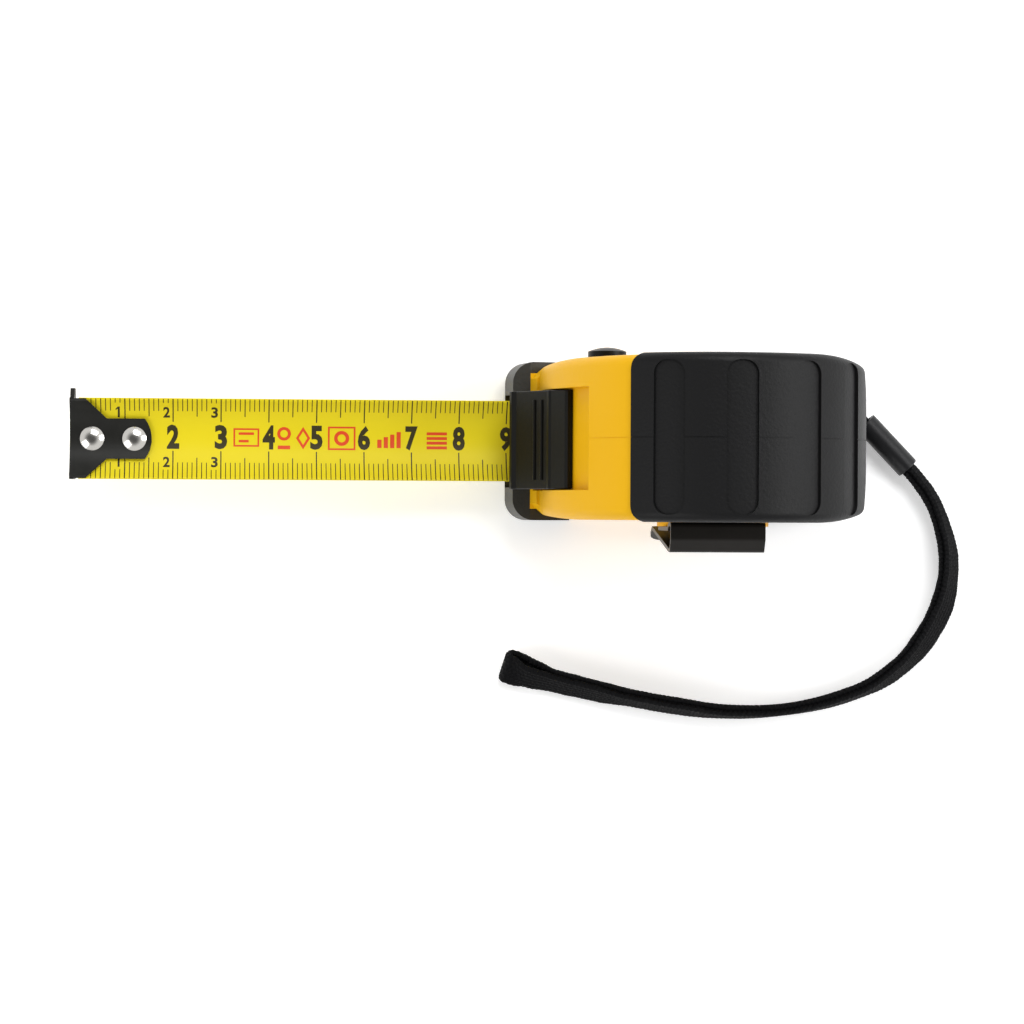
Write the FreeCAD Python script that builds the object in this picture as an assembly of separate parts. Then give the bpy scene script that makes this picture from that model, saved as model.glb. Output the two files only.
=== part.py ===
import FreeCAD, Part
import math
import os

V = FreeCAD.Vector

# A pocket tape measure, 5 m by 19 mm, with its blade partly pulled out and its thumb lock down.
# Frame: millimetres, +Z up, the blade comes out towards -X, the side stop button is on +Y and the
# belt clip on -Y. The origin is on the base plane, halfway along the case, on its parting plane.

# ---- blade ----
BLADE_WIDTH = 19.0          # the strip laid flat
BLADE_THICK = 0.14
BLADE_ARC_R = 11.6          # cross-section radius of the free, concave blade
BLADE_OUT = 89.3            # free blade in front of the case
BLADE_TILT = 5.0            # degrees that the free blade rises towards the hook
BLADE_FLAT_RUN = 20.0       # length over which the blade flattens before it reaches the coil
BLADE_END_GAP = 0.25        # between the straight blade and the wound blade

# ---- reel ----
COIL_R = 25.6               # wound blade, outside
DRUM_R = 19.5               # drum that the blade is wound on
DRUM_WALL = 1.6
COIL_TURNS = 9              # each modelled turn stands for about four turns of blade
COIL_LAYER = 0.52           # radial thickness of one modelled turn
FLANGE_OVER = 0.6           # how far the flanges reach past the coil
FLANGE_THICK = 0.8
FLANGE_HOLES = 5
FLANGE_HOLE_R = 4.0
FLANGE_HOLE_RING = 12.0
REEL_SIDE = 0.2             # play beside the blade inside the reel
ARBOR_R = 4.0
BEARING_GAP = 0.06
SPRING_TURNS = 11
SPRING_THICK = 0.35
SPRING_WIDTH = 12.0
SPRING_MARGIN = 0.4

# ---- case ----
COIL_CLEAR = 1.4            # round the coil
FLOOR = 3.0                 # base plane to the reel space
WALL = 2.0                  # shell round the reel
SIDE_WALL = 1.9
REEL_GAP = 3.1              # from a flange to the inside of the side wall
SIDE_RISE = 0.9             # bare shell above the sunk sides under the grip
GRIP_THICK = 2.2
GRIP_PROUD = 0.8            # grip above the bare shell, round the top
GRIP_SIDE = 1.25            # grip thickness on the sides
SEAM = 0.05                 # half the width of the groove where the two halves meet
SEAM_DEPTH = 0.1
GRIP_SEAM_DEPTH = 0.2
SHELL_ROUND = 2.0           # edge rounding
GRIP_ROUND = 1.9
CORE_ROUND = 1.0
CHAMBER_HALF = 10.3
CHAMBER_BACK = 4.0
CHAMBER_RISE = 0.6
RECESS_FLOOR = 1.3          # shell under the lock's recess
SLOPE_CUT = 3.0
CASE_BOSS_R = 2.6
POST_GAP = 0.35             # between a flange and its post
COIL_SEAT = 0.1
SPRING_TAB = 1.6
FOOT_GAP = 5.3              # front of the slope, measured from the bare shell's radius
NOSE_LEN = 4.75
NOSE_TOP = 12.9
NOSE_HALF_INSET = 2.2       # the nose is this much narrower each side than the bare shell
COLLAR_RUN = 3.1            # the nose's bare collar starts this far behind the nose
COLLAR_TOP = 17.0
COLLAR_HALF_INSET = 1.5     # the collar is this much narrower each side than the bare shell
COLLAR_CORNER = 1.9
COLLAR_LEDGE = 0.3          # the collar's top edge in front of the slope's foot
BUMPER = 2.25
BUMPER_TOP = 14.0
BUMPER_BACK = 11.4          # length of its side arms, from the front of the nose
BUMPER_CORNER = 4.4
BUMPER_TOE = 0.5
BUMPER_LEAN = 1.7           # its front leans back by this much over its upper half
BUMPER_PROUD = 0.2
SLOPE_LOW = 12.0            # z where the front slope begins
SLOPE_PULL = 19.0           # handles of the front curve
CROWN_PULL = 9.0
GRIP_FRONT_ANGLE = 124.8    # the grip's front edge on the top, degrees round the reel from +X
GRIP_BASE_ANGLE = 262.0     # and on the base
GRIP_CORNER = 3.8           # its front corners, seen from above
GRIP_CORNER_OUT = 0.4
WINDOW_R = 18.2             # round bare area on each side
REAR_CORNER = 6.0
FRONT_CORNER = 3.0
REAR_TAPER_FROM = 12.0      # the sides curve in over this length at the rear
REAR_TAPER_R = 32.0
REAR_BULGE = 1.1            # the rear stands out this much more in its middle than at its corners
FRONT_TAPER_FROM = 9.0
FRONT_TAPER_R = 34.0
PAD_ANGLES = (109.5, 82.6, 56.2, 30.6)
PAD_SPAN = 11.8             # degrees
PAD_DEPTH = 0.6
PAD_INSET = 1.5             # from the grip's side to the end of a pad
PAD_CORNER = 2.8
BOSS_R = 11.4               # raised disc that carries the belt clip
BOSS_RISE = 0.9             # above the grip
LABEL_R = 15.5
LABEL_DEPTH = 0.6
LABEL_THICK = 0.45
POST_R = 6.2
POST_SEAT = 1.6

# ---- mouth ----
MOUTH_SIDE = 1.25           # each side of the blade
MOUTH_UNDER = 1.5
MOUTH_OVER = 0.45
GUIDE_LEN = 6.0
GUIDE_GAP = 0.16
GUIDE_DEPTH = 3.6
GUIDE_BACK = 0.6            # behind the front wall

# ---- hook ----
LIP_THICK = 0.95
LIP_DROP = 7.3              # below the blade
LIP_RISE = 3.9              # above the blade's lowest line
EAR = 2.1
EAR_TOP = 0.8
HOOK_LEN = 17.0
HOOK_SHEET = 0.8
HOOK_WIDE_LEN = 3.1
HOOK_NECK_LEN = 7.7
HOOK_NECK_HALF = 4.2
HOOK_PLAY = 0.9
HOOK_GAP = 0.06
HOOK_TIP = 1.4
LIP_CORNER = 1.6
STOP_GAP = 0.4              # left between the hook and the bumper when the blade is in
RIVET_AT = (4.6, 13.4)      # from the lip's outer face
RIVET_HEAD_R = 2.5
RIVET_HEAD_H = 0.75
RIVET_R = 1.1
RIVET_TAIL_R = 1.7
RIVET_TAIL_H = 0.45

# ---- thumb lock ----
RECESS_LOW = 15.5           # z of its ends on the front curve
RECESS_HIGH = 46.3
RECESS_DEPTH = 1.0
RECESS_END = 1.4            # its floor stops this far short of the front curve
LOCK_WIDTH = 20.3
LOCK_SIDE_GAP = 0.25
LOCK_LIFT = 0.2             # off the recess floor
LOCK_TRAVEL = 8.0
LOCK_LEN = 18.4
LOCK_END_GAP = 0.6
LOCK_LEG_HALF = 3.0
LOCK_LEG_FROM = 2.6
LOCK_LEG_LEN = 2.6
LOCK_LEG_REACH = 4.3
LOCK_RIDGE = 0.38
LEVER_PIN_R = 0.9
LEVER_HALF = 2.6
LEVER_TRAVEL = 8.0          # degrees
LEVER_PIN_HALF = 12.0
LEVER_PIN_BACK = 4.3        # behind the foot of the slope
LEVER_PIN_UP = 4.6          # above the blade at the mouth
LEVER_HUB_R = 1.6
LEVER_LEG_GAP = 0.3
LEVER_FOOT = 1.1
SHOE_BACK = 6.8             # behind the lever's pin
LOCK_ROUND = 0.25
RIDGE_INSET = 1.9
RIDGES = ((8.55, 4.95), (10.75, 4.15))
SHOE_GAP = 0.3
SHOE_LEN = 3.4
SHOE_THICK = 1.2

# ---- side stop button ----
BUTTON_BACK = 22.0          # in front of the reel's centre
BUTTON_UP = 8.0
BUTTON_R = 3.9
BUTTON_RISE = 2.1
BUTTON_TRAVEL = 1.2
BUTTON_GAP = 0.15
BUTTON_STEM_R = 1.5
BUTTON_RETAINER_R = 3.0
BUTTON_LEDGE = 0.6
BUTTON_CAP_IN = 0.1
BUTTON_DOME = 0.85
PAD_R = 2.8
PAD_THICK = 0.8
PAD_CLEAR = 0.3             # left between pad and flange when the button is fully in
SPRING_DISC = 0.25          # thickness of the return spring, a dished washer round the stem
SPRING_DISC_GAP = 0.3       # inside and outside it

# ---- belt clip ----
CLIP_SHEET = 0.8
CLIP_WIDTH = 19.0
CLIP_OUT = 6.05             # from the grip's side to the outside of the bend
CLIP_BOTTOM = 8.0
CLIP_LOW = 13.0
CLIP_TOP = 49.0
CLIP_NEAR = 0.95            # from the grip's side to the leaf at its lowest bend
CLIP_FLARE = 2.2
CLIP_GAP = 0.05
CLIP_HOLE_R = 3.6
CLIP_LEAF_DROP = 4.5        # its inner leaf ends this far below the screw
CLIP_STEP = 1.6             # above the raised disc the inner leaf steps in to the grip
CLIP_FLAT = 2.9             # width of the flat top
CLIP_BEND = 2.2
CLIP_BEND_R = 0.6           # middle line of each fold
CLIP_LEAN = 3.6             # degrees that its foot leans towards the blade
CLIP_CORNER = 2.5
SCREW_R = 1.5
SCREW_HEAD_R = 2.9
SCREW_HEAD_H = 1.1

# ---- case screws ----
CASE_SCREW_R = 1.1
CASE_SCREW_HEAD_R = 2.0
CASE_SCREW_HEAD_H = 1.2
CASE_SCREW_SINK = 1.0
SCREW_PLAY = 0.2
THREAD_PLAY = 0.02
SCREW_FRONT = (14.5, 3.4)   # back from the nose, and up
SCREW_REAR = (7.4, 7.0)     # in from the rear of the grip, and up
SCREW_LEN = 24.0

# ---- wrist strap ----
STRAP_Y = 8.8
STRAP_PIN_R = 0.8
STRAP_PIN_BACK = 3.1        # in from the rear of the grip
STRAP_PIN_SEAT = 1.3
STRAP_SLOT = (2.8, 8.2)     # z range of the recess
STRAP_SLOT_HALF = 4.6
STRAP_SLOT_DEPTH = 5.2
STRING_R = 0.65
STRING_Z = 5.2
STRING_IN_SHARE = 0.15
STRING_CLOSE = 0.45
SLEEVE_R = 2.45
SLEEVE_ROUND = 0.25
SLEEVE_BORE_R = 1.75
SLEEVE_BORE_SHARE = 0.4
SLEEVE_START = (2.75, 4.5, 3.45)     # x from the rear of the grip
SLEEVE_END = (11.95, -5.15, 2.8)
STRAP_R = 2.5               # section of the doubled band
STRAP_LEAD = 5.4            # the band leaves the sleeve straight for this long
STRAP_POINTS = (
    (56.0, -15.9, 3.2), (57.9, -24.3, 3.3), (57.2, -33.2, 3.3), (53.0, -42.5, 3.4), (45.1, -50.4, 3.5),
    (34.3, -55.1, 3.6), (21.7, -57.5, 3.6), (8.6, -57.8, 3.5), (-5.35, -55.2, 3.3), (-17.85, -52.8, 3.0),
    (-27.85, -50.4, 2.8), (-35.75, -47.8, 2.5),
)

# ---- places worked out from the sizes above ----
BORE_R = COIL_R + COIL_CLEAR
CORE_R = BORE_R + WALL
GRIP_R = CORE_R + GRIP_THICK
SHELL_R = GRIP_R - GRIP_PROUD
FRONT_REACH = SHELL_R + FOOT_GAP + NOSE_LEN + BUMPER
REEL_X = (FRONT_REACH - GRIP_R) / 2
REEL_Z = FLOOR + BORE_R
FOOT_X = REEL_X - SHELL_R - FOOT_GAP
NOSE_X = FOOT_X - NOSE_LEN
FRONT_X = NOSE_X - BUMPER
REAR_X = REEL_X + GRIP_R
REEL_HALF = BLADE_WIDTH / 2 + REEL_SIDE + FLANGE_THICK
INNER_HALF = REEL_HALF + REEL_GAP
CORE_HALF = INNER_HALF + SIDE_WALL
SHELL_HALF = CORE_HALF + SIDE_RISE
GRIP_HALF = CORE_HALF + GRIP_SIDE
NOSE_HALF = SHELL_HALF - NOSE_HALF_INSET
TILT = math.radians(BLADE_TILT)
TANGENT = V(REEL_X - COIL_R * math.sin(TILT), 0, REEL_Z - COIL_R * math.cos(TILT))
OUTWARD = V(-math.cos(TILT), 0, math.sin(TILT))
ACROSS = V(math.sin(TILT), 0, math.cos(TILT))
BLADE_HALF_ANGLE = BLADE_WIDTH / 2 / BLADE_ARC_R
BLADE_HALF = BLADE_ARC_R * math.sin(BLADE_HALF_ANGLE)
BLADE_SAG = BLADE_ARC_R * (1 - math.cos(BLADE_HALF_ANGLE))
MOUTH_S = (TANGENT.x - FRONT_X) / math.cos(TILT)
BLADE_END_S = MOUTH_S + BLADE_OUT
LIP_OUT_S = BLADE_END_S + HOOK_GAP + HOOK_PLAY + LIP_THICK
FAR = 400.0


def save(name, shape):
    """Write one piece, after checking that its solids are whole."""
    solids = shape.Solids
    assert solids and all(s.isValid() for s in solids), name
    out = solids[0] if len(solids) == 1 else Part.makeCompound(solids)
    out.exportStep(f"parts/{name}.step")


def at(x, y, z):
    return V(x, y, z)


def box(x0, x1, y0, y1, z0, z1):
    return Part.makeBox(x1 - x0, y1 - y0, z1 - z0, V(x0, y0, z0))


def rod(x, z, radius, y0, y1):
    """A round bar along Y."""
    return Part.makeCylinder(radius, y1 - y0, V(x, y0, z), V(0, 1, 0))


def polygon(points):
    """A closed outline through (x, z) points, on the plane y = 0."""
    corners = [V(x, 0, z) for x, z in points]
    return Part.makePolygon(corners + corners[:1])


def slab(wire, y0, y1):
    """An outline on the plane y = 0, made into a solid from y0 to y1."""
    face = Part.Face(wire)
    face.translate(V(0, y0, 0))
    return face.extrude(V(0, y1 - y0, 0))


def polar(radius, degrees):
    """A point round the reel's centre."""
    turn = math.radians(degrees)
    return V(REEL_X + radius * math.cos(turn), 0, REEL_Z + radius * math.sin(turn))


def arc(a, b, c):
    return Part.Arc(a, b, c).toShape()


def line(a, b):
    return Part.LineSegment(a, b).toShape()


def sector(inner, outer, start, end, y0, y1):
    """A slice of a ring round the reel's centre, between two angles."""
    middle = (start + end) / 2
    edges = [
        arc(polar(outer, start), polar(outer, middle), polar(outer, end)),
        line(polar(outer, end), polar(inner, end)),
        arc(polar(inner, end), polar(inner, middle), polar(inner, start)),
        line(polar(inner, start), polar(outer, start)),
    ]
    return slab(Part.Wire(edges), y0, y1)


# ---- case outlines ----


def front_curve(radius):
    """The curve from the foot of the front slope to the round top, for a shell of this radius."""
    inset = SHELL_R - radius
    low = V(FOOT_X + inset, 0, SLOPE_LOW)
    high = polar(radius, GRIP_FRONT_ANGLE)
    turn = math.radians(GRIP_FRONT_ANGLE - 90)
    along = V(math.cos(turn), 0, math.sin(turn))
    curve = Part.BezierCurve()
    curve.setPoles([low, low + V(0, 0, SLOPE_PULL), high - along * CROWN_PULL, high])
    return curve


def case_outline(radius):
    """The closed side view of a body of this radius: slope, round top, straight rear and flat base."""
    inset = SHELL_R - radius
    front = FOOT_X + inset
    rear = REEL_X + radius
    back = REAR_CORNER
    nose = FRONT_CORNER
    bend = math.sqrt(0.5)
    edges = [
        front_curve(radius).toShape(),
        arc(polar(radius, GRIP_FRONT_ANGLE), polar(radius, GRIP_FRONT_ANGLE / 2), polar(radius, 0)),
        line(V(rear, 0, REEL_Z), V(rear, 0, back)),
        arc(V(rear, 0, back), V(rear - back * (1 - bend), 0, back * (1 - bend)), V(rear - back, 0, 0)),
        line(V(rear - back, 0, 0), V(front + nose, 0, 0)),
        arc(V(front + nose, 0, 0), V(front + nose * (1 - bend), 0, nose * (1 - bend)), V(front, 0, nose)),
        line(V(front, 0, nose), V(front, 0, SLOPE_LOW)),
    ]
    return Part.Wire(edges)


def sagitta(radius, run):
    return radius - math.sqrt(radius**2 - run**2)


def plan(half, front, rear):
    """The top view that a body is trimmed to: straight sides that curve in at both ends."""
    ends = ((FOOT_X + FRONT_TAPER_FROM, front - 1, FRONT_TAPER_R), (rear - REAR_TAPER_FROM, rear - REAR_BULGE, REAR_TAPER_R))
    edges = []
    for side in (1, -1):
        edges.append(line(V(ends[0][0], side * half, 0), V(ends[1][0], side * half, 0)))
        for start, end, radius in ends:
            middle = (start + end) / 2
            points = [V(x, side * (half - sagitta(radius, x - start)), 0) for x in (start, middle, end)]
            edges.append(arc(*points))
    corners = [half - sagitta(radius, end - start) for start, end, radius in ends]
    edges.append(line(V(ends[0][1], corners[0], 0), V(ends[0][1], -corners[0], 0)))
    edges.append(arc(V(ends[1][1], corners[1], 0), V(rear, 0, 0), V(ends[1][1], -corners[1], 0)))
    face = Part.Face(Part.Wire(Part.__sortEdges__(edges)))
    face.translate(V(0, 0, -FAR / 2))
    return face.extrude(V(0, 0, FAR))


def rim_edges(body):
    """The edges where a body's sides meet its outline."""
    sides = []
    outline = []
    for face in body.Faces:
        u0, u1, v0, v1 = face.ParameterRange
        normal = face.normalAt((u0 + u1) / 2, (v0 + v1) / 2)
        (sides if abs(normal.y) > 0.35 else outline).append(face)
    rim = []
    for edge in body.Edges:
        on_side = any(edge.isSame(other) for face in sides for other in face.Edges)
        on_outline = any(edge.isSame(other) for face in outline for other in face.Edges)
        if on_side and on_outline:
            rim.append(edge)
    return rim


def solid_body(radius, half, rounding):
    """A whole case body: side view by top view, with its rim rounded."""
    front = FOOT_X + SHELL_R - radius
    body = slab(case_outline(radius), -half, half).common(plan(half, front, REEL_X + radius))
    return body.makeFillet(rounding, rim_edges(body))


def grip_zone(reach=FAR):
    """The slice of the case that the grip covers, without the round window on each side."""
    angles = (GRIP_BASE_ANGLE - 360, -40, 30, 80, GRIP_FRONT_ANGLE)
    corners = [(REEL_X, REEL_Z)] + [(polar(reach, a).x, polar(reach, a).z) for a in angles]
    wide = GRIP_HALF + GRIP_CORNER_OUT
    fan = slab(polygon(corners), -wide, wide)
    front = polar(reach / 2, GRIP_FRONT_ANGLE)
    upright = [e for e in fan.Edges if e.CenterOfMass.distanceToPoint(V(front.x, e.CenterOfMass.y, front.z)) < 1e-3]
    fan = fan.makeFillet(GRIP_CORNER, upright)
    return fan.cut(rod(REEL_X, REEL_Z, WINDOW_R, -FAR, FAR))


def bumper_zone():
    """The part of the case round the mouth that the bumper covers."""
    back = NOSE_X + BUMPER_BACK
    corners = [
        (FRONT_X - BUMPER, -FLOOR),
        (FRONT_X - BUMPER, BUMPER_TOP),
        (NOSE_X + COLLAR_RUN, BUMPER_TOP),
        (back - BUMPER, BUMPER_TOP - BUMPER),
        (back, BUMPER_TOP - 2 * BUMPER),
        (back, -FLOOR),
    ]
    return slab(polygon(corners), -FAR, FAR)


def nose_core():
    """The plastic round the mouth, under the bumper, with its bare collar."""
    collar = NOSE_X + COLLAR_RUN
    corners = [
        (NOSE_X, 0),
        (NOSE_X, NOSE_TOP),
        (collar, NOSE_TOP),
        (collar, BUMPER_TOP),
        (FOOT_X + WALL, BUMPER_TOP),
        (FOOT_X + WALL, 0),
    ]
    nose = slab(polygon(corners), -NOSE_HALF, NOSE_HALF)
    upright = [e for e in nose.Edges if abs(e.CenterOfMass.x - NOSE_X) < 1e-6 and abs(e.tangentAt(0).z) > 0.9]
    nose = nose.makeFillet(BUMPER_CORNER - BUMPER, upright)
    rim = [
        (collar, BUMPER_TOP),
        (FOOT_X - COLLAR_LEDGE, COLLAR_TOP),
        (FOOT_X + WALL, COLLAR_TOP),
        (FOOT_X + WALL, BUMPER_TOP),
    ]
    wide = SHELL_HALF - COLLAR_HALF_INSET
    band = slab(polygon(rim), -wide, wide)
    ends = [e for e in band.Edges if abs(e.CenterOfMass.y) > wide - 1e-6 and e.CenterOfMass.x < FOOT_X - COLLAR_LEDGE]
    slanted = [e for e in ends if abs(e.tangentAt(0).z) > 0.5]
    return nose.fuse(band.makeChamfer(COLLAR_CORNER, slanted))


# ---- front slope: x runs up the recess floor, z stands out from it ----


def on_front(z):
    """The point of the bare shell's front curve at this height."""
    curve = front_curve(SHELL_R)
    low, high = 0.0, 1.0
    for _ in range(40):
        middle = (low + high) / 2
        if curve.value(middle).z < z:
            low = middle
        else:
            high = middle
    return curve.value(low)


SLOPE_START = on_front(RECESS_LOW)
SLOPE_END = on_front(RECESS_HIGH)
UP_SLOPE = (SLOPE_END - SLOPE_START).normalize()
OFF_SLOPE = V(-UP_SLOPE.z, 0, UP_SLOPE.x)
SLOPE_ORIGIN = SLOPE_START - OFF_SLOPE * RECESS_DEPTH
RECESS_LEN = (SLOPE_END - SLOPE_START).Length


def slope(along, out):
    """A point in the slope's own directions, as (x, z)."""
    point = SLOPE_ORIGIN + UP_SLOPE * along + OFF_SLOPE * out
    return point.x, point.z


def slope_block(along0, along1, out0, out1, half):
    corners = [slope(along0, out0), slope(along1, out0), slope(along1, out1), slope(along0, out1)]
    return slab(polygon(corners), -half, half)


# ---- the free blade: s runs out of the mouth, y across, zp up from the blade's lowest line ----


def blade_point(s, y, zp):
    return TANGENT + OUTWARD * s + V(0, y, 0) + ACROSS * zp


def blade_block(s0, s1, half, zp0, zp1):
    corners = [blade_point(s, 0, zp) for s, zp in ((s0, zp0), (s1, zp0), (s1, zp1), (s0, zp1))]
    return slab(polygon([(p.x, p.z) for p in corners]), -half, half)


def trough_wire(s, outer, inner, half_angle):
    """The curved cross-section of the blade, or of a sheet that follows it."""
    rims = []
    for radius in (outer, inner):
        rims.append(
            [
                blade_point(s, radius * math.sin(turn), BLADE_ARC_R - radius * math.cos(turn))
                for turn in (-half_angle, 0, half_angle)
            ]
        )
    low, high = rims
    return Part.Wire(
        [arc(*low), line(low[2], high[2]), arc(high[2], high[1], high[0]), line(high[0], low[0])]
    )


def trough(s0, s1, outer, inner, half_angle):
    face = Part.Face(trough_wire(s0, outer, inner, half_angle))
    return face.extrude(OUTWARD * (s1 - s0))


def across_rod(s, radius, zp0, zp1):
    """A round bar square to the blade."""
    return Part.makeCylinder(radius, zp1 - zp0, blade_point(s, 0, zp0), ACROSS)


# ---- case ----


def case_shell():
    """Both halves together: bare shell, sunk core under the grip, nose, reel space, mouth and bosses."""
    bare = solid_body(SHELL_R, SHELL_HALF, SHELL_ROUND).cut(grip_zone())
    core = solid_body(CORE_R, CORE_HALF, CORE_ROUND)
    sides = bumper_zone().cut(box(-FAR, FAR, -NOSE_HALF, NOSE_HALF, -FAR, FAR))
    shell = bare.fuse(core).cut(sides).fuse(nose_core())
    shell = shell.cut(reel_space()).cut(chamber()).cut(mouth())
    shell = shell.fuse(rod(*screw_spot(0), CASE_BOSS_R, -CHAMBER_HALF, CHAMBER_HALF))
    recess_end = RECESS_LEN - RECESS_END
    shell = shell.cut(slope_block(-LOCK_END_GAP, recess_end, 0, 4 * SLOPE_CUT, LOCK_WIDTH / 2 + LOCK_SIDE_GAP))
    leg_end = LOCK_LEG_FROM + LOCK_LEG_LEN + LOCK_TRAVEL + LOCK_SIDE_GAP
    slot = slope_block(LOCK_LEG_FROM - LOCK_SIDE_GAP, leg_end, -SLOPE_CUT, SLOPE_CUT, LOCK_LEG_HALF + LOCK_SIDE_GAP)
    shell = shell.cut(slot)
    post_from = REEL_HALF + POST_GAP
    for side in (1, -1):
        ends = sorted((side * post_from, side * (INNER_HALF + SIDE_WALL / 2)))
        shell = shell.fuse(rod(REEL_X, REEL_Z, POST_R, *ends))
    seat = INNER_HALF + POST_SEAT
    shell = shell.cut(rod(REEL_X, REEL_Z, ARBOR_R + THREAD_PLAY, -seat, seat))
    pin = LEVER_PIN_HALF + THREAD_PLAY
    shell = shell.cut(rod(*lever_pin_spot(), LEVER_PIN_R + THREAD_PLAY, -pin, pin))
    return shell.cut(seam(SHELL_R, SEAM_DEPTH)).cut(strap_slot()).cut(strap_pin_hole())


def seam(radius, depth):
    """The fine groove round the outside where the halves meet, above the base."""
    outside = slab(case_outline(radius + 1), -SEAM, SEAM)
    inside = slab(case_outline(radius - depth), -1, 1)
    return outside.cut(inside).cut(box(-FAR, FAR, -1, 1, -FAR, FLOOR))


def reel_space():
    return rod(REEL_X, REEL_Z, BORE_R, -INNER_HALF, INNER_HALF)


def chamber():
    """The space behind the mouth, over the blade, for the lock's lever."""
    inside = NOSE_X + WALL
    low = blade_point((TANGENT.x - inside) / math.cos(TILT), 0, -MOUTH_UNDER).z
    roof = blade_point(MOUTH_S, 0, BLADE_SAG + BLADE_THICK + MOUTH_OVER).z
    corners = [
        (inside, low - GUIDE_DEPTH),
        (inside, roof),
        (FOOT_X, roof),
        slope(-1.5 * WALL, -RECESS_FLOOR),
        slope(RECESS_LEN / 2, -RECESS_FLOOR),
        (REEL_X - BORE_R / 2, slope(RECESS_LEN / 2, 0)[1]),
        (REEL_X - CHAMBER_BACK, FLOOR + CHAMBER_RISE),
        (REEL_X - 2 * CHAMBER_BACK, low - GUIDE_DEPTH),
    ]
    return slab(polygon(corners), -CHAMBER_HALF, CHAMBER_HALF)


def mouth():
    half = BLADE_HALF + MOUTH_SIDE
    over = BLADE_SAG + BLADE_THICK + MOUTH_OVER
    return blade_block(MOUTH_S - BUMPER - 2 * WALL, MOUTH_S + 2 * BUMPER, half, -MOUTH_UNDER, over)


def screw_spot(number):
    """Where a case screw goes, as x and z."""
    if number == 0:
        return NOSE_X + SCREW_FRONT[0], SCREW_FRONT[1]
    return REAR_X - SCREW_REAR[0], SCREW_REAR[1]


def strap_slot():
    low, high = STRAP_SLOT
    rear = REAR_X + GRIP_THICK
    return box(
        REAR_X - STRAP_SLOT_DEPTH, rear, STRAP_Y - STRAP_SLOT_HALF, STRAP_Y + STRAP_SLOT_HALF, low, high
    )


def strap_pin_shape(radius):
    low, high = STRAP_SLOT
    return Part.makeCylinder(
        radius, high - low + 2 * STRAP_PIN_SEAT, V(REAR_X - STRAP_PIN_BACK, STRAP_Y, low - STRAP_PIN_SEAT)
    )


def strap_pin_hole():
    return strap_pin_shape(STRAP_PIN_R + THREAD_PLAY)


def head_face():
    """y of the outer face of the case screws' heads."""
    return -(SHELL_HALF - CASE_SCREW_SINK)


def screw_holes(body, side):
    """Clearance holes and sunk heads in the left half, threads in the right half."""
    for number in range(2):
        x, z = screw_spot(number)
        if side < 0:
            hole = rod(x, z, CASE_SCREW_R + SCREW_PLAY, -FAR, FAR)
            sink = rod(x, z, CASE_SCREW_HEAD_R + SCREW_PLAY, -FAR, head_face() + CASE_SCREW_HEAD_H)
            body = body.cut(hole).cut(sink)
        else:
            tip = head_face() + CASE_SCREW_HEAD_H + SCREW_LEN
            body = body.cut(rod(x, z, CASE_SCREW_R + THREAD_PLAY, -FAR, tip + SCREW_PLAY))
    return body


def half_of(shape, side):
    keep = box(-FAR, FAR, 0, FAR, -FAR, FAR) if side > 0 else box(-FAR, FAR, -FAR, 0, -FAR, FAR)
    return shape.common(keep)


def button_spot():
    return REEL_X - BUTTON_BACK, REEL_Z + BUTTON_UP


def case_left(shell):
    """The half with the raised disc for the belt clip and the screws' heads."""
    body = half_of(shell, -1)
    body = body.fuse(rod(REEL_X, REEL_Z, BOSS_R, -(GRIP_HALF + BOSS_RISE), -(INNER_HALF + POST_SEAT)))
    body = body.cut(rod(REEL_X, REEL_Z, SCREW_R + SCREW_PLAY, -FAR, -REEL_HALF))
    return screw_holes(body, -1)


def case_right(shell):
    """The half with the stop button, the label's recess and the screws' threads."""
    body = half_of(shell, 1)
    x, z = button_spot()
    body = body.cut(rod(x, z, BUTTON_R + BUTTON_GAP, button_ledge(), FAR))
    body = body.cut(rod(x, z, BUTTON_STEM_R + BUTTON_GAP, 0, FAR))
    body = body.cut(rod(x, z, BUTTON_RETAINER_R + BUTTON_GAP, REEL_HALF, INNER_HALF))
    body = body.cut(rod(REEL_X, REEL_Z, LABEL_R, SHELL_HALF - LABEL_DEPTH, FAR))
    return screw_holes(body, 1)


# ---- grip and bumper ----


def grip_pad(angle):
    """The cutter for one shallow cross band of the grip, with rounded ends."""
    half = GRIP_HALF - PAD_INSET
    start, end = angle - PAD_SPAN / 2, angle + PAD_SPAN / 2
    band = sector(GRIP_R - PAD_DEPTH, GRIP_R + GRIP_THICK, start, end, -half, half)
    corners = [e for e in band.Edges if abs(e.CenterOfMass.y) > half - 1e-6 and e.Curve.TypeId == "Part::GeomLine"]
    return band.makeFillet(PAD_CORNER, corners)


def grips():
    body = solid_body(GRIP_R, GRIP_HALF, GRIP_ROUND).common(grip_zone())
    body = body.cut(solid_body(CORE_R, CORE_HALF, CORE_ROUND))
    for angle in PAD_ANGLES:
        body = body.cut(grip_pad(angle))
    return body.cut(seam(GRIP_R, GRIP_SEAM_DEPTH)).cut(strap_slot()).cut(strap_pin_hole())


def grip_half(body, side):
    half = half_of(body, side)
    if side < 0:
        for number in range(2):
            x, z = screw_spot(number)
            half = half.cut(rod(x, z, CASE_SCREW_HEAD_R + SCREW_PLAY, -FAR, 0))
    return half


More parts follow.
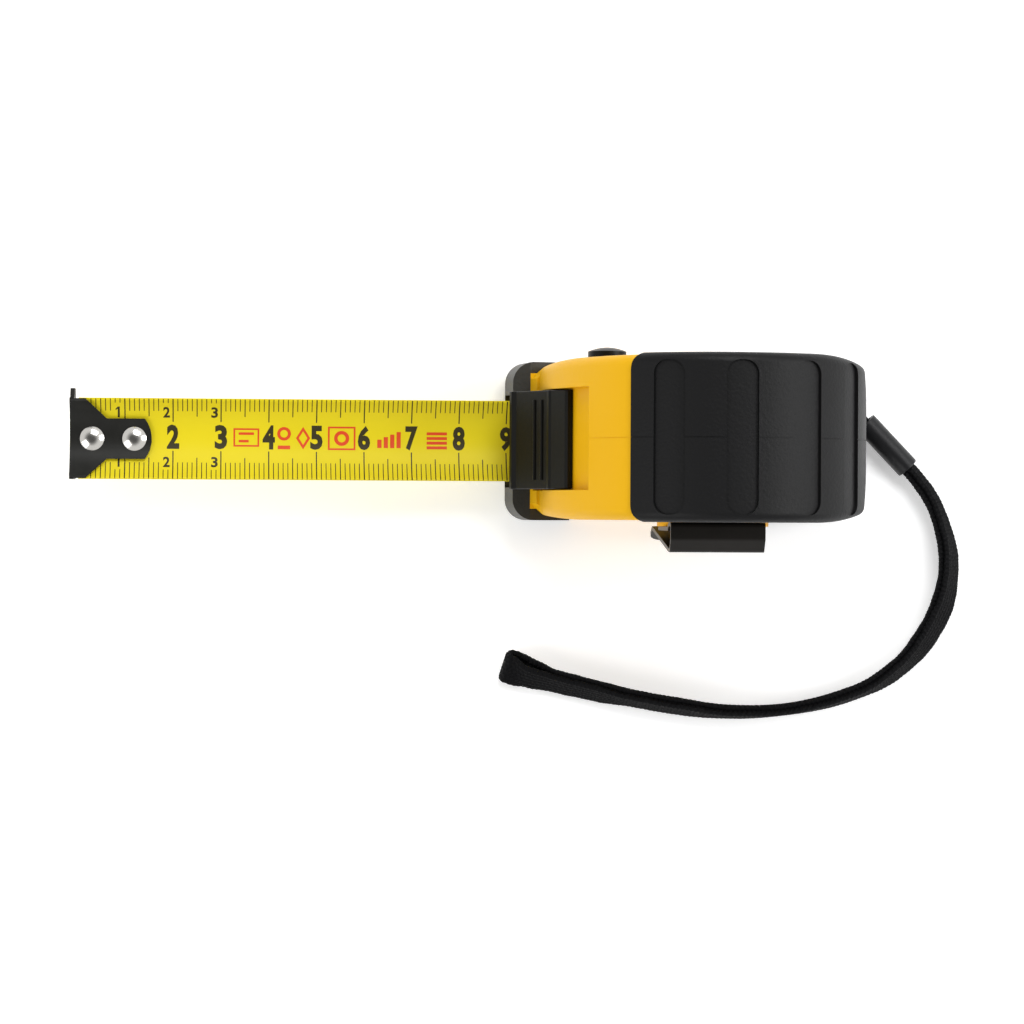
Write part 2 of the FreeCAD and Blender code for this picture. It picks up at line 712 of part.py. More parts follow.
def bumper():
    """The rubber band round the mouth: a chamfered front, a flat top and two side arms."""
    back = NOSE_X + BUMPER_BACK
    corners = [
        (FRONT_X + BUMPER_TOE, 0),
        (FRONT_X, 2 * BUMPER_TOE * 3),
        (FRONT_X, BUMPER_TOP / 2),
        (FRONT_X + BUMPER_LEAN, BUMPER_TOP),
        (back, BUMPER_TOP),
        (back, 0),
    ]
    half = SHELL_HALF + BUMPER_PROUD
    outer = slab(polygon(corners), -half, half)
    upright = [e for e in outer.Edges if e.CenterOfMass.x < NOSE_X and abs(e.tangentAt(0).y) < 0.1]
    outer = outer.makeFillet(BUMPER_CORNER, upright)
    outer = outer.common(bumper_zone())
    inner = nose_core().fuse(box(NOSE_X + COLLAR_RUN, back + WALL, -NOSE_HALF, NOSE_HALF, -FLOOR, FAR))
    return outer.cut(inner).cut(mouth())


# ---- reel ----


def spiral(outer_r, turns, pitch, thick, start, y0, y1):
    """A strip wound inwards in half circles from an outer radius."""
    turn = math.radians(start)
    aim = V(math.cos(turn), 0, math.sin(turn))
    square = V(-math.sin(turn), 0, math.cos(turn))
    centre = V(REEL_X, 0, REEL_Z)
    rims = []
    for inset in (0, thick):
        edges = []
        for half in range(2 * turns):
            way = 1 if half % 2 == 0 else -1
            middle = centre + aim * (way * pitch / 4)
            radius = outer_r - inset - pitch / 4 - half * pitch / 2
            edges.append(
                arc(middle + aim * (way * radius), middle + square * (way * radius), middle - aim * (way * radius))
            )
        rims.append((edges, centre + aim * (outer_r - inset), centre + aim * (outer_r - inset - turns * pitch)))
    (outer, out_start, out_end), (inner, in_start, in_end) = rims
    wire = Part.Wire(outer + [line(out_end, in_end)] + inner[::-1] + [line(in_start, out_start)])
    return slab(wire, y0, y1)


def blade_coil():
    inner = DRUM_R + COIL_SEAT + COIL_LAYER
    pitch = (COIL_R - inner) / COIL_TURNS
    half = BLADE_WIDTH / 2
    return spiral(COIL_R, COIL_TURNS, pitch, COIL_LAYER, 270 - BLADE_TILT, -half, half)


def power_spring():
    outer = DRUM_R - DRUM_WALL - SPRING_MARGIN
    inner = ARBOR_R + SPRING_MARGIN + SPRING_THICK
    half = SPRING_WIDTH / 2
    strip = spiral(outer, SPRING_TURNS, (outer - inner) / SPRING_TURNS, SPRING_THICK, 0, -half, half)
    tab = box(
        REEL_X + ARBOR_R - SPRING_TAB, REEL_X + inner - SPRING_THICK / 2, -half, half, REEL_Z, REEL_Z + SPRING_THICK
    )
    return strip.fuse(tab)


def flange_disc(y0, y1):
    disc = rod(REEL_X, REEL_Z, COIL_R + FLANGE_OVER, y0, y1)
    disc = disc.cut(rod(REEL_X, REEL_Z, ARBOR_R + BEARING_GAP, y0 - 1, y1 + 1))
    for number in range(FLANGE_HOLES):
        spot = polar(FLANGE_HOLE_RING, 360 / FLANGE_HOLES * (number + 0.5))
        disc = disc.cut(rod(spot.x, spot.z, FLANGE_HOLE_R, y0 - 1, y1 + 1))
    return disc


def reel_drum():
    """Drum with its left flange."""
    inside = REEL_HALF - FLANGE_THICK
    drum = rod(REEL_X, REEL_Z, DRUM_R, -inside, inside).cut(
        rod(REEL_X, REEL_Z, DRUM_R - DRUM_WALL, -inside, inside)
    )
    return drum.fuse(flange_disc(-REEL_HALF, -inside))


def reel_flange():
    return flange_disc(REEL_HALF - FLANGE_THICK, REEL_HALF)


def reel_arbor():
    """The fixed post: a slot for the mainspring and a thread for the clip's screw."""
    half = INNER_HALF + POST_SEAT - SCREW_PLAY
    post = rod(REEL_X, REEL_Z, ARBOR_R, -half, half)
    slot_half = SPRING_WIDTH / 2 + SCREW_PLAY
    slot = box(
        REEL_X + ARBOR_R - SPRING_TAB - SCREW_PLAY,
        REEL_X + 2 * ARBOR_R,
        -slot_half,
        slot_half,
        REEL_Z - SCREW_PLAY,
        REEL_Z + SPRING_THICK + SCREW_PLAY,
    )
    return post.cut(slot).cut(rod(REEL_X, REEL_Z, SCREW_R + THREAD_PLAY, -FAR, clip_screw_tip() + SCREW_PLAY))


# ---- blade and hook ----


def flat_wire(s):
    half = BLADE_WIDTH / 2
    spots = ((-half, 0), (half, 0), (half, BLADE_THICK), (-half, BLADE_THICK))
    corners = [blade_point(s, y, zp) for y, zp in spots]
    return Part.makePolygon(corners + corners[:1])


def blade():
    """The free strip: flat where it joins the coil, then curved across all the way to the hook."""
    inner = BLADE_ARC_R - BLADE_THICK
    strip = trough(BLADE_FLAT_RUN, BLADE_END_S, BLADE_ARC_R, inner, BLADE_HALF_ANGLE)
    curved = trough_wire(BLADE_FLAT_RUN, BLADE_ARC_R, inner, BLADE_HALF_ANGLE)
    bend = Part.makeLoft([flat_wire(BLADE_END_GAP), curved], True, True)
    strip = strip.fuse(bend)
    for back in RIVET_AT:
        strip = strip.cut(across_rod(LIP_OUT_S - back, RIVET_R + THREAD_PLAY, -BLADE_THICK, 1))
    return strip


def hook_outline():
    """The hook's plate from above, as a prism through the blade."""
    half = BLADE_HALF + HOOK_GAP
    steps = [(0, half), (HOOK_WIDE_LEN, half - HOOK_GAP), (HOOK_NECK_LEN, HOOK_NECK_HALF), (HOOK_LEN - HOOK_TIP, HOOK_NECK_HALF)]
    near = [blade_point(LIP_OUT_S - back, y, -LIP_DROP) for back, y in steps]
    far = [blade_point(LIP_OUT_S - back, -y, -LIP_DROP) for back, y in steps]
    tip = blade_point(LIP_OUT_S - HOOK_LEN, 0, -LIP_DROP)
    edges = [line(a, b) for a, b in zip(near, near[1:])]
    edges.append(arc(near[-1], tip, far[-1]))
    edges += [line(a, b) for a, b in zip(far[::-1], far[-2::-1])]
    edges.append(line(far[0], near[0]))
    return Part.Face(Part.Wire(edges)).extrude(ACROSS * (LIP_DROP + 2 * BLADE_SAG))


def hook_top_r():
    """Radius of the plate's upper side, which follows the blade."""
    return BLADE_ARC_R - BLADE_THICK - HOOK_GAP - HOOK_SHEET


def end_hook():
    under = BLADE_ARC_R - BLADE_THICK - HOOK_GAP
    plate = trough(LIP_OUT_S - HOOK_LEN, LIP_OUT_S, under, hook_top_r(), BLADE_HALF_ANGLE).common(hook_outline())
    half = BLADE_HALF
    spots = [
        (-half, -LIP_DROP + LIP_CORNER),
        (LIP_CORNER - half, -LIP_DROP),
        (half + EAR - LIP_CORNER, -LIP_DROP),
        (half + EAR, -LIP_DROP + LIP_CORNER),
        (half + EAR, EAR_TOP - LIP_CORNER),
        (half, EAR_TOP),
        (half, LIP_RISE),
        (-half, LIP_RISE),
    ]
    corners = [blade_point(LIP_OUT_S - LIP_THICK, y, zp) for y, zp in spots]
    lip = Part.Face(Part.makePolygon(corners + corners[:1])).extrude(OUTWARD * LIP_THICK)
    hollow = Part.makeCylinder(hook_top_r(), 2 * HOOK_LEN, blade_point(LIP_OUT_S - HOOK_LEN, 0, BLADE_ARC_R), OUTWARD)
    hook = plate.fuse(lip.cut(hollow))
    for back in RIVET_AT:
        for shift in (0, HOOK_PLAY):
            hook = hook.cut(across_rod(LIP_OUT_S - back + shift, RIVET_R + HOOK_GAP, -1, 2 * BLADE_SAG))
        slot = blade_block(LIP_OUT_S - back, LIP_OUT_S - back + HOOK_PLAY, RIVET_R + HOOK_GAP, -1, 2 * BLADE_SAG)
        hook = hook.cut(slot)
    return hook


def hook_rivets():
    """Two domed rivets, with room under their heads for the hook to slide."""
    seat = BLADE_ARC_R - math.sqrt(hook_top_r() ** 2 - RIVET_HEAD_R**2) + HOOK_GAP
    dome_r = (RIVET_HEAD_R**2 + RIVET_HEAD_H**2) / (2 * RIVET_HEAD_H)
    rivets = []
    for back in RIVET_AT:
        s = LIP_OUT_S - back
        ball = Part.makeSphere(dome_r, blade_point(s, 0, seat + RIVET_HEAD_H - dome_r))
        head = ball.common(across_rod(s, RIVET_HEAD_R, seat, seat + 2 * RIVET_HEAD_H))
        shank = across_rod(s, RIVET_R, -RIVET_TAIL_H, seat)
        tail = across_rod(s, RIVET_TAIL_R, -RIVET_TAIL_H, -HOOK_GAP)
        rivets.append(shank.fuse(head).fuse(tail))
    return Part.makeCompound(rivets)


def mouth_guide():
    """The saddle under the blade, with a groove for the rivets' tails."""
    start = MOUTH_S - BUMPER - WALL - GUIDE_BACK
    block = blade_block(start - GUIDE_LEN, start, CHAMBER_HALF - SCREW_PLAY, -GUIDE_DEPTH, BLADE_SAG / 2)
    trench = Part.makeCylinder(
        BLADE_ARC_R + GUIDE_GAP, 2 * GUIDE_LEN, blade_point(start - 1.5 * GUIDE_LEN, 0, BLADE_ARC_R), OUTWARD
    )
    groove_half = RIVET_TAIL_R + 2 * MOUTH_OVER
    groove = blade_block(start - 2 * GUIDE_LEN, start + GUIDE_LEN, groove_half, -MOUTH_UNDER, BLADE_SAG)
    return block.cut(trench).cut(groove)


# ---- thumb lock ----


def lock_slider():
    """Thumb ledge with a raised lip and two ridges, on a plate that runs in the recess."""
    lift = LOCK_LIFT
    profile = [
        (0.5, lift), (0.2, 6.6), (0.5, 7.5), (1.2, 7.9), (2.1, 7.8), (2.9, 7.0), (12.2, 3.6), (12.9, 3.85),
        (13.6, 3.7), (14.0, 3.3), (LOCK_LEN - 0.5, 1.7), (LOCK_LEN, 1.2), (LOCK_LEN, lift),
    ]
    half = LOCK_WIDTH / 2
    body = slab(polygon([slope(a, b) for a, b in profile]), -half, half)
    ends = [e for e in body.Edges if abs(abs(e.CenterOfMass.y) - half) < 1e-6]
    body = body.makeFillet(LOCK_ROUND, ends)
    ridge_half = half - RIDGE_INSET
    for along, out in RIDGES:
        x, z = slope(along, out)
        body = body.fuse(rod(x, z, LOCK_RIDGE, -ridge_half, ridge_half))
    leg = slope_block(
        LOCK_LEG_FROM, LOCK_LEG_FROM + LOCK_LEG_LEN, -LOCK_LEG_REACH, 2 * lift, LOCK_LEG_HALF
    )
    return body.fuse(leg)


def lever_pin_spot():
    return FOOT_X + LEVER_PIN_BACK, LEVER_PIN_UP + blade_point(MOUTH_S, 0, 0).z


def shoe_floor():
    """Where the brake shoe stops above the blade, as x and z of its front and back ends."""
    rise = BLADE_ARC_R - math.sqrt(BLADE_ARC_R**2 - LEVER_HALF**2)
    back = lever_pin_spot()[0] + SHOE_BACK
    ends = []
    for x in (back, back + SHOE_LEN):
        point = blade_point((TANGENT.x - x) / math.cos(TILT), 0, BLADE_THICK + rise + SHOE_GAP)
        ends.append((x, point.z))
    return ends


def lock_lever():
    """The brake arm: a hub on its pin, a pad under the slider's leg and a foot for the shoe."""
    x, z = lever_pin_spot()
    (heel_x, heel_z), (toe_x, toe_z) = shoe_floor()
    leg_x, leg_z = slope(LOCK_LEG_FROM, -LOCK_LEG_REACH)
    top = leg_z - LEVER_LEG_GAP
    corners = [
        (x, z + LEVER_HUB_R),
        (leg_x - 1, top),
        (leg_x + 1, top),
        (toe_x, toe_z + SHOE_THICK + LEVER_FOOT),
        (toe_x, toe_z + SHOE_THICK),
        (heel_x, heel_z + SHOE_THICK),
        (heel_x - 1, heel_z + SHOE_THICK + 1.5 * LEVER_FOOT),
        (x, z - LEVER_HUB_R),
    ]
    arm = slab(polygon(corners), -LEVER_HALF, LEVER_HALF)
    arm = arm.fuse(rod(x, z, LEVER_HUB_R, -LEVER_HALF, LEVER_HALF))
    return arm.cut(rod(x, z, LEVER_PIN_R + BEARING_GAP, -FAR, FAR))


def brake_shoe():
    (heel_x, heel_z), (toe_x, toe_z) = shoe_floor()
    corners = [(heel_x, heel_z), (toe_x, toe_z), (toe_x, toe_z + SHOE_THICK), (heel_x, heel_z + SHOE_THICK)]
    return slab(polygon(corners), -LEVER_HALF, LEVER_HALF)


def lever_pin():
    return rod(*lever_pin_spot(), LEVER_PIN_R, -LEVER_PIN_HALF, LEVER_PIN_HALF)


# ---- side stop button ----


def button_ledge():
    """y of the ledge in the wall that the button's spring stands on."""
    return INNER_HALF + BUTTON_LEDGE


def pad_face():
    """y of the brake pad's face at rest."""
    return REEL_HALF + BUTTON_TRAVEL + PAD_CLEAR


def stop_button():
    """A domed cap on a stem, with a disc inside the wall that keeps it in."""
    x, z = button_spot()
    rim = SHELL_HALF + BUTTON_RISE
    under = SHELL_HALF - BUTTON_CAP_IN
    back = pad_face() + PAD_THICK
    r = BUTTON_R
    ball_r = (r**2 + BUTTON_DOME**2) / (2 * BUTTON_DOME)
    half_turn = math.asin(r / ball_r) / 2
    shoulder = V(x + ball_r * math.sin(half_turn), rim - ball_r * (1 - math.cos(half_turn)), z)
    edges = [
        line(V(x, back, z), V(x + BUTTON_RETAINER_R, back, z)),
        line(V(x + BUTTON_RETAINER_R, back, z), V(x + BUTTON_RETAINER_R, INNER_HALF - BUTTON_GAP, z)),
        line(V(x + BUTTON_RETAINER_R, INNER_HALF - BUTTON_GAP, z), V(x + BUTTON_STEM_R, INNER_HALF - BUTTON_GAP, z)),
        line(V(x + BUTTON_STEM_R, INNER_HALF - BUTTON_GAP, z), V(x + BUTTON_STEM_R, under, z)),
        line(V(x + BUTTON_STEM_R, under, z), V(x + r, under, z)),
        line(V(x + r, under, z), V(x + r, rim - BUTTON_DOME, z)),
        arc(V(x + r, rim - BUTTON_DOME, z), shoulder, V(x, rim, z)),
        line(V(x, rim, z), V(x, back, z)),
    ]
    return Part.Face(Part.Wire(edges)).revolve(V(x, 0, z), V(0, 1, 0), 360)


def button_pad():
    return rod(*button_spot(), PAD_R, pad_face(), pad_face() + PAD_THICK)


def button_spring():
    """A dished spring washer between the ledge and the cap."""
    x, z = button_spot()
    inner = BUTTON_STEM_R + SPRING_DISC_GAP
    outer = BUTTON_R - SPRING_DISC_GAP
    low = button_ledge()
    high = SHELL_HALF - BUTTON_CAP_IN - SPRING_DISC
    corners = [V(x + outer, low, z), V(x + outer, low + SPRING_DISC, z)]
    corners += [V(x + inner, high + SPRING_DISC, z), V(x + inner, high, z)]
    return Part.Face(Part.makePolygon(corners + corners[:1])).revolve(V(x, 0, z), V(0, 1, 0), 360)


# ---- belt clip ----


def bent_sheet(points, thick, bend):
    """End view of a folded strip: the (y, z) points of its middle line, rounded at each fold."""
    spots = [V(0, y, z) for y, z in points]
    ways = [(b - a).normalize() for a, b in zip(spots, spots[1:])]
    normals = [V(0, -way.z, way.y) for way in ways]
    sides = []
    for off in (thick / 2, -thick / 2):
        edges = []
        here = spots[0] + normals[0] * off
        for number in range(1, len(spots) - 1):
            before, after = ways[number - 1], ways[number]
            turned = 1 if normals[number - 1].dot(after) > 0 else -1
            cut = bend * math.tan(before.getAngle(after) / 2)
            enter = spots[number] - before * cut
            leave = spots[number] + after * cut
            centre = enter + normals[number - 1] * (turned * bend)
            out = (spots[number] - centre).normalize()
            start = enter + normals[number - 1] * off
            end = leave + normals[number] * off
            edges += [line(here, start), arc(start, centre + out * (bend - turned * off), end)]
            here = end
        last = spots[-1] + normals[-1] * off
        edges.append(line(here, last))
        sides.append((edges, last))
    (near, near_end), (far, far_end) = sides
    cap = line(near_end, far_end)
    foot = line(spots[0] - normals[0] * (thick / 2), spots[0] + normals[0] * (thick / 2))
    return Part.Face(Part.Wire(Part.__sortEdges__(near + [cap] + far + [foot])))


def clip_face():
    """y of the clip's inner leaf where the screw's head bears."""
    return -(GRIP_HALF + BOSS_RISE + CLIP_GAP + CLIP_SHEET)


def belt_clip():
    """A bent steel strip: a leaf on the raised disc, a roof-shaped bend, and the long outer leaf."""
    sheet = CLIP_SHEET
    leaf = clip_face() + sheet / 2
    out = -(GRIP_HALF + CLIP_OUT) + sheet / 2
    near = -(GRIP_HALF + CLIP_NEAR) - sheet / 2
    side = -(GRIP_HALF + CLIP_GAP) - sheet / 2
    step = REEL_Z + BOSS_R + CLIP_STEP
    path = [
        (leaf, REEL_Z - CLIP_LEAF_DROP),
        (leaf, step),
        (side, step + CLIP_STEP),
        (side, CLIP_TOP - sheet / 2),
        (side - CLIP_FLAT, CLIP_TOP - sheet / 2),
        (out, CLIP_TOP - CLIP_BEND),
        (out + 0.1, CLIP_TOP - 2 * CLIP_BEND),
        (near, CLIP_LOW),
        (near - CLIP_FLARE, CLIP_BOTTOM),
    ]
    face = bent_sheet(path, sheet, CLIP_BEND_R)
    face.translate(V(REEL_X - CLIP_WIDTH / 2, 0, 0))
    strip = face.extrude(V(CLIP_WIDTH, 0, 0))
    edges = [e for e in strip.Edges if e.CenterOfMass.z < CLIP_BOTTOM + sheet and abs(e.tangentAt(0).x) < 0.1]
    edges = [e for e in edges if e.Length < 2 * sheet]
    strip = strip.makeFillet(CLIP_CORNER, edges)
    strip.rotate(V(REEL_X, 0, CLIP_TOP), V(0, 1, 0), CLIP_LEAN)
    driver = rod(REEL_X, REEL_Z, CLIP_HOLE_R, -FAR, clip_face() - sheet / 4)
    return strip.cut(driver).cut(rod(REEL_X, REEL_Z, SCREW_R + SCREW_PLAY, -FAR, 0))


def clip_screw_tip():
    return -SPRING_WIDTH / 2 - WALL


def driver_cross(x, z, y, radius):
    """A cross recess in a head whose face is at y, looking along +Y."""
    wide = radius * 1.2
    thin = radius * 0.26
    deep = radius * 0.35
    bar = box(x - wide / 2, x + wide / 2, y, y + deep, z - thin / 2, z + thin / 2)
    return bar.fuse(box(x - thin / 2, x + thin / 2, y, y + deep, z - wide / 2, z + wide / 2))


def domed_head(x, z, y, radius, height):
    """A pan head from its face at y down to y + height."""
    head = rod(x, z, radius, y, y + height)
    rim = [e for e in head.Edges if abs(e.CenterOfMass.y - y) < 1e-6 and e.Curve.TypeId == "Part::GeomCircle"]
    return head.makeFillet(height * 0.6, rim).cut(driver_cross(x, z, y, radius))


def clip_screw():
    seat = clip_face() - CLIP_GAP
    head = domed_head(REEL_X, REEL_Z, seat - SCREW_HEAD_H, SCREW_HEAD_R, SCREW_HEAD_H)
    return head.fuse(rod(REEL_X, REEL_Z, SCREW_R, seat, clip_screw_tip()))


def case_screws():
    screws = []
    for number in range(2):
        x, z = screw_spot(number)
        seat = head_face() + CASE_SCREW_HEAD_H - THREAD_PLAY
        head = domed_head(x, z, seat - CASE_SCREW_HEAD_H, CASE_SCREW_HEAD_R, CASE_SCREW_HEAD_H)
        screws.append(head.fuse(rod(x, z, CASE_SCREW_R, seat, seat + SCREW_LEN)))
    return Part.makeCompound(screws)


def side_label():
    """A blank disc in the right half's recess."""
    base = SHELL_HALF - LABEL_DEPTH
    return rod(REEL_X, REEL_Z, LABEL_R - SCREW_PLAY, base, base + LABEL_THICK)


# ---- wrist strap ----


def bar_between(a, b, radius):
    return Part.makeCylinder(radius, (b - a).Length, a, b - a)


def sleeve_ends():
    behind = V(REAR_X, 0, 0)
    return behind + V(*SLEEVE_START), behind + V(*SLEEVE_END)


def strap_sleeve():
    start, end = sleeve_ends()
    sleeve = bar_between(start, end, SLEEVE_R)
    rims = [e for e in sleeve.Edges if e.Curve.TypeId == "Part::GeomCircle"]
    sleeve = sleeve.makeFillet(SLEEVE_ROUND, rims)
    bore_end = start + (end - start) * SLEEVE_BORE_SHARE
    return sleeve.cut(bar_between(start - (end - start) * 0.1, bore_end, SLEEVE_BORE_R))


def strap_string():
    """The thin cord that loops round the pin, with both ends in the sleeve."""
    start, end = sleeve_ends()
    pin = V(REAR_X - STRAP_PIN_BACK, STRAP_Y, STRING_Z)
    inside = start + (end - start) * STRING_IN_SHARE
    way = V(inside.x - pin.x, inside.y - pin.y, 0).normalize()
    side = V(-way.y, way.x, 0)
    reach = STRAP_PIN_R + STRING_R + THREAD_PLAY
    loop = Part.makeTorus(reach, STRING_R, pin, V(0, 0, 1), 0, 360, 360)
    behind = Part.makeBox(4 * reach, 8 * reach, 4 * reach, V(-4 * reach, -4 * reach, -2 * reach))
    behind.rotate(V(0, 0, 0), V(0, 0, 1), math.degrees(math.atan2(way.y, way.x)))
    behind.translate(pin)
    string = loop.common(behind)
    for way_side in (1, -1):
        near = pin + side * (way_side * reach)
        far = inside + side * (way_side * (SLEEVE_BORE_R - STRING_R) * STRING_CLOSE)
        string = string.fuse(Part.makeSphere(STRING_R, near)).fuse(bar_between(near, far, STRING_R))
    return string


def cord_tube(points, radius):
    """Straight runs joined by tangent arcs, each arc as large as its two runs allow."""
    corners = [V(*p) for p in points]
    runs = [(b - a).Length for a, b in zip(corners, corners[1:])]
    edges = []
    here = corners[0]
    radii = []
    for number in range(1, len(corners) - 1):
        back = (corners[number - 1] - corners[number]).normalize()
        ahead = (corners[number + 1] - corners[number]).normalize()
        turn = math.pi - back.getAngle(ahead)
        cut = 0.45 * min(runs[number - 1], runs[number])
        arc_r = cut / math.tan(turn / 2)
        radii.append(arc_r)
        enter, leave = corners[number] + back * cut, corners[number] + ahead * cut
        inward = (back + ahead).normalize()
        middle = corners[number] + inward * (arc_r / math.cos(turn / 2) - arc_r)
        edges += [line(here, enter), arc(enter, middle, leave)]
        here = leave
    edges.append(line(here, corners[-1]))
    path = Part.Wire(edges)
    section = Part.Wire(Part.makeCircle(radius, corners[0], corners[1] - corners[0]))
    tube = path.makePipeShell([section], True, True)
    share = tube.Volume / (math.pi * radius**2 * path.Length)
    print(f"strap: length {path.Length:.1f} mm, volume share {share:.3f}, radii {[round(r, 1) for r in radii]}")
    return tube


def strap_webbing():
    start, end = sleeve_ends()
    lead = end + (end - start).normalize() * STRAP_LEAD
    return cord_tube((tuple(end), tuple(lead)) + STRAP_POINTS, STRAP_R)


def strap_pin():
    return strap_pin_shape(STRAP_PIN_R)


def main():
    os.makedirs("parts", exist_ok=True)
    shell = case_shell()
    save("case_left", case_left(shell))
    save("case_right", case_right(shell))
    grip = grips()
    rubber = bumper()
    for side, name in ((-1, "left"), (1, "right")):
        save(f"grip_{name}", grip_half(grip, side))
        save(f"bumper_{name}", half_of(rubber, side))
    pieces = (
        blade_coil, power_spring, reel_drum, reel_flange, reel_arbor, blade, end_hook, hook_rivets,
        mouth_guide, lock_slider, lock_lever, brake_shoe, lever_pin, stop_button, button_pad,
        button_spring, belt_clip, clip_screw, case_screws, side_label, strap_pin, strap_string,
        strap_sleeve, strap_webbing,
    )
    for piece in pieces:
        save(piece.__name__, piece())
    travel = BLADE_OUT + HOOK_GAP - STOP_GAP
    print(f"reel centre {REEL_X:.3f} {REEL_Z:.3f}, case {FRONT_X:.3f} to {REAR_X:.3f}")
    print(f"blade travel {travel:.3f}, outward {tuple(OUTWARD)}, tangent {tuple(TANGENT)}")
    print(f"lock: up {tuple(UP_SLOPE)}, travel {LOCK_TRAVEL}, lever pin {lever_pin_spot()}, {LEVER_TRAVEL} degrees")
    print(f"button at {button_spot()}, travel {BUTTON_TRAVEL}, hook play {HOOK_PLAY}")


main()
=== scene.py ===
"""A pocket tape measure seen from above on a pale table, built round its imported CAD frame."""

import math

import bmesh
import bpy
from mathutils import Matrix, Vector


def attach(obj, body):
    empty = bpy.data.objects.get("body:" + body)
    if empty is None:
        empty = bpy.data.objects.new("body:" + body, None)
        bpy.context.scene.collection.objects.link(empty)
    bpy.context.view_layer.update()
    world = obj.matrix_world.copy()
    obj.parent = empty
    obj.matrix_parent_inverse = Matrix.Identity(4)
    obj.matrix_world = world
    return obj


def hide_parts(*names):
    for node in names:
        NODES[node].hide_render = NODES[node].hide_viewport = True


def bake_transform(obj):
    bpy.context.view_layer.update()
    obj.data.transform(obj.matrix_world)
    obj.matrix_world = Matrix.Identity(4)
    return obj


MM = 0.001
CAMERA_AT = (-0.03535, -0.0149, 0.714)      # above the tape, looking straight down
CAMERA_ROLL = 0.3                           # degrees
LENS, SENSOR = 117.4, 36                    # millimetres
SKY_FADE = (0.72, 0.97)                     # heights between which the studio's sky darkens
FLOOR_SIZE, FLOOR_DROP = 6, 0.0002

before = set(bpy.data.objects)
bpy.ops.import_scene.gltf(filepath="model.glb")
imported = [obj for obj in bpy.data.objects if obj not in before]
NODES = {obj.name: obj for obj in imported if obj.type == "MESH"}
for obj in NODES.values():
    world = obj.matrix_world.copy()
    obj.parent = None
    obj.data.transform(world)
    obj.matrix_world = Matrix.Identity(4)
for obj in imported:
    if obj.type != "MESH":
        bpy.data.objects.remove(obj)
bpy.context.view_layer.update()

# ---------------------------------------------------------------- camera, floor, light


def make_camera():
    lens = bpy.data.cameras.new("camera")
    lens.sensor_width = SENSOR
    lens.lens = LENS
    lens.clip_start, lens.clip_end = 0.05, 10
    camera = bpy.data.objects.new("camera", lens)
    camera.location = CAMERA_AT
    camera.rotation_euler = (0, 0, math.radians(CAMERA_ROLL))
    bpy.context.collection.objects.link(camera)
    bpy.context.scene.camera = camera
    bpy.context.scene.view_settings.view_transform = "Standard"


def soft_light(name, place, aim, size, power):
    """A white rectangular lamp at place that faces aim."""
    lamp = bpy.data.lights.new(name, "AREA")
    lamp.shape = "RECTANGLE"
    lamp.size, lamp.size_y = size
    lamp.energy = power
    lamp_object = bpy.data.objects.new(name, lamp)
    lamp_object.location = place
    lamp_object.rotation_euler = (Vector(aim) - Vector(place)).to_track_quat("-Z", "Y").to_euler()
    bpy.context.collection.objects.link(lamp_object)


def make_world(above, around, strength):
    """A studio whose ceiling is darker than the cloths around the table."""
    world = bpy.data.worlds.new("studio")
    bpy.context.scene.world = world
    world.use_nodes = True
    tree = world.node_tree
    place = add_node(tree, "ShaderNodeTexCoord")
    split = add_node(tree, "ShaderNodeSeparateXYZ")
    ramp = add_node(tree, "ShaderNodeMapRange", interpolation_type="SMOOTHSTEP")
    ramp.inputs["From Min"].default_value, ramp.inputs["From Max"].default_value = SKY_FADE
    ramp.inputs["To Min"].default_value, ramp.inputs["To Max"].default_value = around, above
    sky = tree.nodes["Background"]
    tree.links.new(place.outputs["Generated"], split.inputs["Vector"])
    tree.links.new(split.outputs["Z"], ramp.inputs["Value"])
    tree.links.new(ramp.outputs["Result"], sky.inputs["Color"])
    sky.inputs["Strength"].default_value = strength


# ---------------------------------------------------------------- materials


GRAIN_DETAIL, GRAIN_STRENGTH = 4.0, 0.6


def material(name, colour, rough, metallic=0.0, specular=0.5):
    """A plain material of one colour and roughness."""
    paint = bpy.data.materials.new(name)
    paint.use_nodes = True
    tree = paint.node_tree
    shader = tree.nodes["Principled BSDF"]
    shader.inputs["Base Color"].default_value = (*colour, 1)
    shader.inputs["Roughness"].default_value = rough
    shader.inputs["Metallic"].default_value = metallic
    shader.inputs["Specular IOR Level"].default_value = specular
    return paint


def add_node(tree, kind, **settings):
    """A shader node with its inputs or properties set by name."""
    made = tree.nodes.new(kind)
    for key, value in settings.items():
        if key in made.inputs:
            made.inputs[key].default_value = value
        else:
            setattr(made, key, value)
    return made


def grained(paint, scale, depth, stretch=(1, 1, 1)):
    """Fine bumps in the object's own space: moulding grain, rubber, brushed or cast metal."""
    tree = paint.node_tree
    place = add_node(tree, "ShaderNodeTexCoord")
    fit = add_node(tree, "ShaderNodeMapping", Scale=stretch)
    noise = add_node(tree, "ShaderNodeTexNoise", Scale=scale, Detail=GRAIN_DETAIL)
    bump = add_node(tree, "ShaderNodeBump", Strength=GRAIN_STRENGTH, Distance=depth)
    tree.links.new(place.outputs["Object"], fit.inputs["Vector"])
    tree.links.new(fit.outputs["Vector"], noise.inputs["Vector"])
    tree.links.new(noise.outputs["Fac"], bump.inputs["Height"])
    tree.links.new(bump.outputs["Normal"], tree.nodes["Principled BSDF"].inputs["Normal"])
    return paint


